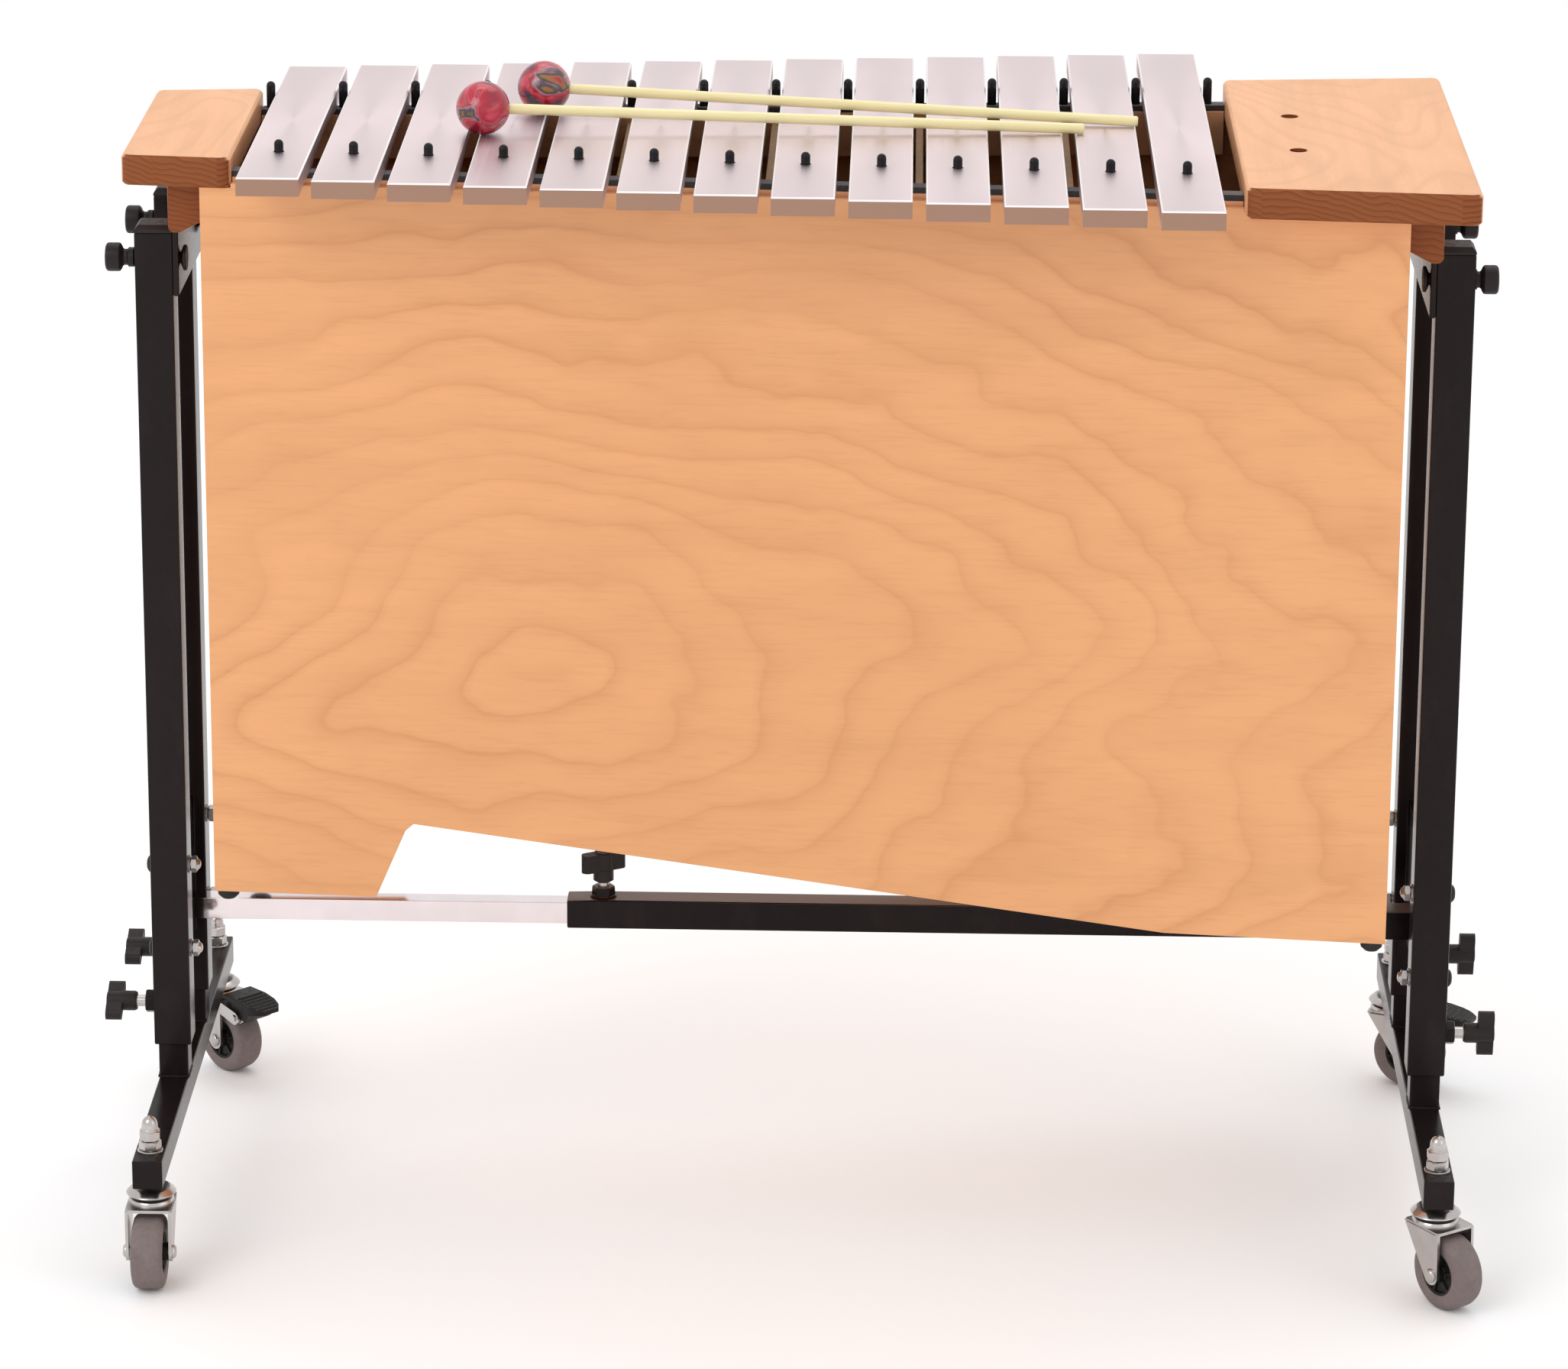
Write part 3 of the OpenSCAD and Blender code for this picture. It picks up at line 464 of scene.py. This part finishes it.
def soften(node, width, pin=None):
    """The CAD node with clean faces, rounded long edges and crisp shading.

    pin names the hinge whose pin is part of the node and is shown in metal.
    """
    bm = bmesh.new()
    bm.from_mesh(frame["nodes"][node].data)
    bmesh.ops.remove_doubles(bm, verts=bm.verts, dist=2e-5)
    bmesh.ops.dissolve_limit(bm, angle_limit=FLAT_EDGE, verts=bm.verts, edges=bm.edges)
    w = width * MM
    if w:
        sharp = [e for e in bm.edges if len(e.link_faces) == 2 and e.calc_length() > 5 * w
                 and e.calc_face_angle(0) > ROUNDED_EDGE]
        bmesh.ops.bevel(bm, geom=sharp, offset=w, segments=2, profile=0.5, affect="EDGES",
                        clamp_overlap=False)
        bmesh.ops.remove_doubles(bm, verts=bm.verts, dist=1e-5)
    for f in bm.faces:
        f.material_index = int(bool(pin) and from_axle(f.calc_center_median(), pin) < PIN_REACH)
    show(bm, node, [look_of(node)] + ([ZINC] if pin else []))


def at(x, y, z, turn=0.0, axis="Z"):
    """A place in millimetres, with a local Z axis along the world's Z, or along +X or -X."""
    m = Matrix.Translation((x * MM, y * MM, z * MM))
    if axis != "Z":
        m = m @ Matrix.Rotation(math.radians(90 if axis == "X" else -90), 4, "Y")
    return m @ Matrix.Rotation(math.radians(turn), 4, "Z")


def bridge(bm, rings, place, look, closed):
    """Skins a row of rings, given in millimetres; closed joins the last ring to the first."""
    vs = [[bm.verts.new(place @ (Vector(p) * MM)) for p in ring] for ring in rings]
    pairs = list(zip(vs, vs[1:])) + ([(vs[-1], vs[0])] if closed else [])
    faces = []
    for lo, hi in pairs:
        for i in range(len(lo)):
            j = (i + 1) % len(lo)
            faces.append(bm.faces.new((lo[i], lo[j], hi[j], hi[i])))
    if not closed:
        faces += [bm.faces.new(vs[0][::-1]), bm.faces.new(vs[-1])]
    for f in faces:
        f.material_index = look
    return faces


def turned(bm, profile, place, look=0, closed=False, steps=40):
    """A turned solid from (radius, height) pairs; closed makes a ring of a profile that runs round."""
    angles = [2 * math.pi * i / steps for i in range(steps)]
    rings = [[(r * math.cos(a), r * math.sin(a), h) for a in angles] for r, h in profile]
    bridge(bm, rings, place, look, closed)


def nut(bm, z0, z1, flats, place, cut=1.0):
    """A hexagon nut; cut is how far its chamfer reaches down at the corners."""
    angles = [math.pi * i / 6 for i in range(12)]
    radii = [flats / 2 / math.cos(math.pi / 6) if i % 2 == 0 else flats / 2 for i in range(12)]
    face_r = flats / 2 - 0.35

    def face(z):
        return [(face_r * math.cos(a), face_r * math.sin(a), z) for a in angles]

    def side(z, way):
        return [(r * math.cos(a), r * math.sin(a), z + way * (cut if i % 2 == 0 else 0.2))
                for i, (a, r) in enumerate(zip(angles, radii))]

    bridge(bm, [face(z0), side(z0, 1), side(z1, -1), face(z1)], place, 0, False)


def slab(bm, outline, z0, z1, place, look=0, edge=0.0, segments=3):
    """An outline, counter-clockwise, as a slab with rounded edges."""
    rings = [[(x, y, z) for x, y in outline] for z in (z0, z1)]
    faces = bridge(bm, rings, place, look, False)
    if edge:
        rim = [e for e in {e for f in faces for e in f.edges} if e.calc_face_angle(0) > ROUNDED_EDGE]
        out = bmesh.ops.bevel(bm, geom=rim, offset=edge * MM, segments=segments, profile=0.5,
                              affect="EDGES")
        for f in out["faces"]:
            f.material_index = look


def arc(x, y, r, a0, a1, steps=14):
    """Points on an arc about x, y, with its angles in degrees."""
    angles = [math.radians(a0 + (a1 - a0) * i / steps) for i in range(steps + 1)]
    return [(x + r * math.cos(a), y + r * math.sin(a)) for a in angles]


# ---------------------------------------------------------------- hardware, rebuilt with its details

# Millimetres and degrees. Left is -1 and right is 1, front is -1 and rear is 1.
POST_X, POST_IN, POST_OUT = 422.5, 410.0, 435.0
STEM_Y, BASE_TOP, LOCK_Z, CLAMP_Z = 193.0, 90.0, 141.0, 661.0
BOLT_Z = (180.0, 240.0)
CROSSBAR_KNOB_X = -133
AXLE_Y, AXLE_Z = -15, 25
POST_Y = {-1: (-52.0, 52.0), 1: (-75.0, 75.0)}
SIDE = {-1: "left", 1: "right"}
OUTWARD = {-1: "-X", 1: "X"}
CLAMP_REACH = {-1: 20.0, 1: 15.5}
LOCK_TURN = {"lf": 58, "lr": 62, "rf": 4, "rr": 8}
# Each castor's side, row and swivel angle
CASTOR = {"fl": (-1, -1, 0), "fr": (1, -1, 35), "rl": (-1, 1, 45), "rr": (1, 1, 65)}

# Profiles as (radius, height) pairs
NUT_DOME = [(5.35, 0.0), (5.35, 2.2), (5.1, 4.2), (4.4, 6.0), (3.3, 7.3), (2.0, 8.1), (0.8, 8.45)]
BOLT_DOME = [(6.0, 0.0), (6.0, 1.0), (5.6, 1.7), (4.6, 2.6), (3.0, 3.3), (1.2, 3.5)]
RIVET = [(4.6, 15.1), (4.6, 16.0), (4.1, 16.9), (3.0, 17.5), (1.2, 17.7)]
TYRE_SIDE = [(14.7, 8.8), (15.0, 9.8), (17.5, 10.3), (20.3, 10.5), (22.4, 10.0), (23.9, 8.8),
             (24.7, 7.0), (25.0, 4.8)]
TYRE_MIDDLE = [(24.95, 0)]
HUB_SIDE = [(3.05, 12.4), (5.7, 12.4), (6.0, 12.1), (6.0, 8.4), (6.7, 7.7), (12.6, 7.6), (13.4, 9.2),
            (14.9, 9.7)]
RACE_BOWL = [(6.6, 60.0), (14.2, 60.0), (16.1, 60.9), (16.5, 61.6), (16.1, 62.3), (13.2, 64.7),
             (12.2, 65.0), (6.6, 65.0)]
RACE_GAP = [(6.6, 58.2), (13.4, 58.2), (13.4, 60.2), (6.6, 60.2)]
RACE_SEAT = [(6.6, 55.9), (15.2, 55.9), (15.0, 57.0), (14.2, 58.1), (13.0, 58.5), (6.6, 58.5)]


def raised(profile, height):
    return [(r, height + h) for r, h in profile]


def mirrored(profile):
    """The profile at minus its heights, ready to be followed by the profile itself, reversed."""
    return [(r, -h) for r, h in profile]


def castor_studs(s):
    bm = bmesh.new()
    for t in (-1, 1):
        p = at(s * POST_X, t * STEM_Y, 0)
        turned(bm, [(4, 60.4), (4, 104)], p)
        turned(bm, [(6.3, 60.4), (6.5, 60.8), (6.5, 66), (8.5, 69.9)], p, 1)
        turned(bm, [(8.1, 90.0), (8.5, 90.2), (8.5, 91.2), (8.1, 91.55)], p)
        nut(bm, 91.55, 97.9, 13, at(s * POST_X, t * STEM_Y, 0, 10))
        nut(bm, 98.3, 104.9, 13, at(s * POST_X, t * STEM_Y, 0, 35))
        turned(bm, [(5.9, 104.6), (5.9, 105.6), (5.4, 106.1)], p)
        turned(bm, raised(NUT_DOME, 105.9), p)
    show(bm, "castor_studs_" + SIDE[s], [ZINC, HUB])


def frame_bolts(s):
    bm = bmesh.new()
    for y in POST_Y[s]:
        for z in BOLT_Z:
            p = at(0, y, z, 0, OUTWARD[s])
            turned(bm, [(3, POST_IN - 7), (3, POST_OUT)], p)
            turned(bm, raised([(5.6, -1.1), (6.0, -0.9), (6.0, -0.1)], POST_IN), p)
            nut(bm, POST_IN - 5.6, POST_IN - 1.1, 10, at(0, y, z, 20, OUTWARD[s]), 0.8)
            turned(bm, raised([(1.0, -8), (2.4, -7.6), (3.5, -6.6), (3.9, -5.5)], POST_IN), p)
            turned(bm, raised(BOLT_DOME, POST_OUT), p, 1)
    show(bm, "frame_bolts_" + SIDE[s], [ZINC, CAP])


def wing_knob(bm, place, hub_r, hub_h, z0, z1, half, width, foot):
    """A two-winged knob: a tapered neck under a bar with round ends."""
    turned(bm, [(foot, 0), (hub_r, 1.5), (hub_r, z0 + 1)], place)
    w = width / 2
    offset = 1.2
    outline = arc(half - w, offset, w, -90, 90) + arc(w - half, -offset, w, 90, 270)
    slab(bm, outline, z0, z1, place, 0, 1.5)
    turned(bm, [(hub_r - 0.3, z0 - 0.5), (hub_r - 0.3, hub_h - 1.2), (hub_r - 0.8, hub_h - 0.4),
                (hub_r - 1.8, hub_h)], place)


def lock_knob(s, part, y):
    bm = bmesh.new()
    turned(bm, [(3.6, 432.9), (3.95, 433.4), (3.95, 450)], at(0, y, LOCK_Z, 0, OUTWARD[s]), 1)
    place = at(s * (POST_OUT + 12.5), y, LOCK_Z, LOCK_TURN[part], OUTWARD[s])
    wing_knob(bm, place, 6.75, 20.6, 9.6, 20.2, 16.3, 8.8, 6.0)
    show(bm, "lock_knob_" + part, [KNOB, ZINC])


def crossbar_knob():
    bm = bmesh.new()
    turned(bm, [(3.6, 199.9), (3.95, 200.4), (3.95, 215)], at(CROSSBAR_KNOB_X, 0, 0), 1)
    wing_knob(bm, at(CROSSBAR_KNOB_X, 0, 213, 25), 7.0, 21.6, 8.4, 21.0, 16.3, 8.3, 4.6)
    show(bm, "crossbar_knob", [KNOB, ZINC])


def clamp_screw(s, part, y):
    bm = bmesh.new()
    pad = [(8.1, 402.0), (8.5, 402.3), (8.5, 403.9), (5.2, 405.4), (4.0, 405.6), (4.0, 435.4),
           (5.0, 435.5), (6.5, 436.8)]
    head = [(6.5, 420), (5.4, 420.8), (5.3, 423), (6.2, 424), (8.0, 424.8), (9.2, 425.7), (9.5, 426.7),
            (9.5, 433), (9.1, 434.2), (8.0, 435)]
    turned(bm, pad + raised(head, CLAMP_REACH[s]), at(0, y, CLAMP_Z, 0, OUTWARD[s]))
    show(bm, "clamp_screw_" + part, [KNOB])


def castor_place(part):
    s, t, turn = CASTOR[part]
    return at(s * POST_X, t * STEM_Y, 0, turn)


def castor_wheel(part):
    p = castor_place(part) @ at(0, AXLE_Y, AXLE_Z, 0, "X")
    bm = bmesh.new()
    turned(bm, mirrored(TYRE_SIDE) + TYRE_MIDDLE + TYRE_SIDE[::-1], p, 0, True, 64)
    turned(bm, mirrored(HUB_SIDE) + HUB_SIDE[::-1], p, 1, True, 48)
    spoke = [(5.5, -0.7), (13.2, -0.7), (13.2, 0.7), (5.5, 0.7)]
    for i in range(6):
        slab(bm, spoke, -9.0, 9.0, p @ Matrix.Rotation(math.radians(60 * i + 15), 4, "Z"), 1)
    show(bm, "castor_wheel_" + part, [TYRE, HUB])


def castor_fork(part):
    base = castor_place(part)
    bm = bmesh.new()
    turned(bm, RACE_BOWL, base, 0, True, 48)
    turned(bm, RACE_GAP, base, 1, True, 48)
    turned(bm, RACE_SEAT, base, 0, True, 48)
    plate = arc(12.7, -18.5, 2.5, -90, 0, 5) + arc(12.7, 10.5, 2.5, 0, 90, 5)
    plate += [(-x, y) for x, y in plate[::-1]]
    slab(bm, plate, 54.0, 56.0, base, 0, 0.5, 2)
    # The rear castors have an ear that carries the brake pedal's hinge
    if part[0] == "r":
        ahead = [(-24, 55.6)] + arc(-37, 48, 4.9, 112, 277, 10) + [(-21.4, 47.2)]
    else:
        ahead = [(-21, 55.2)]
    outline = [(13, 55.2)] + ahead + arc(AXLE_Y, AXLE_Z, 6.5, 180, 324, 14)
    up = base @ Matrix.Rotation(math.radians(90), 4, "Z") @ Matrix.Rotation(math.radians(90), 4, "X")
    for x in (13.2, -15.2):
        slab(bm, outline, x, x + 2.0, up, 0, 0.45, 2)
    axle = base @ at(0, AXLE_Y, AXLE_Z, 0, "X")
    turned(bm, [(2.95, -15.4), (2.95, 15.4)], axle)
    turned(bm, RIVET, axle)
    turned(bm, mirrored(RIVET)[::-1], axle)
    show(bm, "castor_fork_" + part, [ZINC, HUB])


def weld_beads(s):
    """The beads that join the inner posts to their base tube."""
    bm = bmesh.new()
    half, low, side_steps = 10.2, BASE_TOP + 0.2, 14
    corners = [(-half, -half), (half, -half), (half, half), (-half, half)]
    angles = [math.pi * k / 4 for k in range(8)]
    for y in POST_Y[s]:
        path = []
        for (x0, y0), (x1, y1) in zip(corners, corners[1:] + corners[:1]):
            path += [(x0 + (x1 - x0) * i / side_steps, y0 + (y1 - y0) * i / side_steps)
                     for i in range(side_steps)]
        rings = []
        for i, (x, dy) in enumerate(path):
            out = Vector((x, dy, 0)).normalized()
            r = 0.75 + 0.25 * abs(math.sin(i * 1.9)) + random.uniform(-0.1, 0.1)
            rings.append([(s * POST_X + x + out.x * r * math.cos(a), y + dy + out.y * r * math.cos(a),
                           low + r * math.sin(a)) for a in angles])
        bridge(bm, rings, Matrix.Identity(4), 0, True)
    bmesh.ops.recalc_face_normals(bm, faces=bm.faces)
    for f in bm.faces:
        f.smooth = True
    ob = to_object(bm, "weld_beads_" + SIDE[s], [POWDER])
    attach(ob, BODY_OF["base_frame_" + SIDE[s]])


for s in (-1, 1):
    castor_studs(s)
    frame_bolts(s)
    for row, y in zip("fr", POST_Y[s]):
        part = SIDE[s][0] + row
        clamp_screw(s, part, y)
        lock_knob(s, part, y)
crossbar_knob()
for part in CASTOR:
    castor_wheel(part)
    castor_fork(part)

# Width in millimetres of the rounded edges, by the start of a node's name; the longest match holds
EDGE = {"bar_": 0.0, "front_panel": 0.6, "back_panel": 0.6, "end_panels": 0.4, "partitions": 0.4,
        "bar_rails": 0.5, "felt": 0.6, "bar_pins": 0.0, "end_blocks": 0.6, "hanging": 0.9, "rubber": 0.0,
        "mallet": 0.0, "outer_posts": 1.1, "base_frame": 1.1, "crossbar_outer": 1.1,
        "crossbar_inner": 0.5, "support_plate": 0.9, "post_caps": 0.5, "brake_pedal": 0.6}
for node in frame["nodes"]:
    if node not in SHOWN:
        start = max((p for p in EDGE if node.startswith(p)), key=len)
        hinge = "brake_%s_press" % node[-2:] if start == "brake_pedal" else None
        soften(node, EDGE[start], hinge)
weld_beads(-1)
weld_beads(1)


# ---------------------------------------------------------------- floor, light, camera

FLOOR_HALF = 9
AIM = Vector((0, 0, 0.45))
# Place in metres, size in metres, power in watts
LIGHTS = {
    "key": ((-2.2, -2.6, 3.0), (2.2, 2.2), 42),
    "fill": ((2.8, -1.8, 1.6), (2.0, 2.0), 8),
    "top": ((0.2, 1.2, 3.2), (2.6, 1.8), 18),
}
EYE = (0.0700958, -3.8597862, 1.6135956)
YAW, PITCH, ROLL = 2.143, 16.558, 0.0745
LENS, SENSOR, SHIFT = 138.09, 36.0, (0.06, -0.10)


def floor():
    h = FLOOR_HALF
    bm = bmesh.new()
    bm.faces.new([bm.verts.new(p) for p in ((-h, -h, 0), (h, -h, 0), (h, h, 0), (-h, h, 0))])
    m = Mat("floor_pale", Specular_IOR_Level=0.1)
    n = m.noise(m.coord(), 1.5, 2, 0.5)
    look = m.done(m.ramp(n, [(0.3, (0.94, 0.94, 0.945)), (0.7, (0.96, 0.96, 0.965))]),
                  m.ramp(n, [(0, 0.8), (1, 0.9)]))
    to_object(bm, "floor", [look])


def lights():
    world = bpy.data.worlds.new("world")
    world.use_nodes = True
    world.node_tree.nodes["Background"].inputs[0].default_value = (1.0, 1.0, 1.0, 1)
    world.node_tree.nodes["Background"].inputs[1].default_value = 1.0
    bpy.context.scene.world = world
    for name, (where, size, power) in LIGHTS.items():
        light = bpy.data.lights.new(name, "AREA")
        light.shape = "RECTANGLE"
        light.size, light.size_y = size
        light.energy = power
        ob = bpy.data.objects.new(name, light)
        bpy.context.scene.collection.objects.link(ob)
        ob.location = where
        ob.rotation_euler = (AIM - Vector(where)).to_track_quat("-Z", "Y").to_euler()


def camera():
    cam = bpy.data.cameras.new("camera")
    cam.sensor_width = SENSOR
    cam.lens = LENS
    cam.shift_x, cam.shift_y = SHIFT
    cam.clip_end = 50
    ob = bpy.data.objects.new("camera", cam)
    bpy.context.scene.collection.objects.link(ob)
    turn = (Matrix.Rotation(math.radians(YAW), 4, "Z") @ Matrix.Rotation(math.radians(90 - PITCH), 4, "X")
            @ Matrix.Rotation(math.radians(ROLL), 4, "Z"))
    ob.matrix_world = Matrix.Translation(EYE) @ turn
    bpy.context.scene.camera = ob


floor()
lights()
camera()
bpy.context.scene.view_settings.view_transform = "Standard"
bpy.context.scene.view_settings.look = "None"
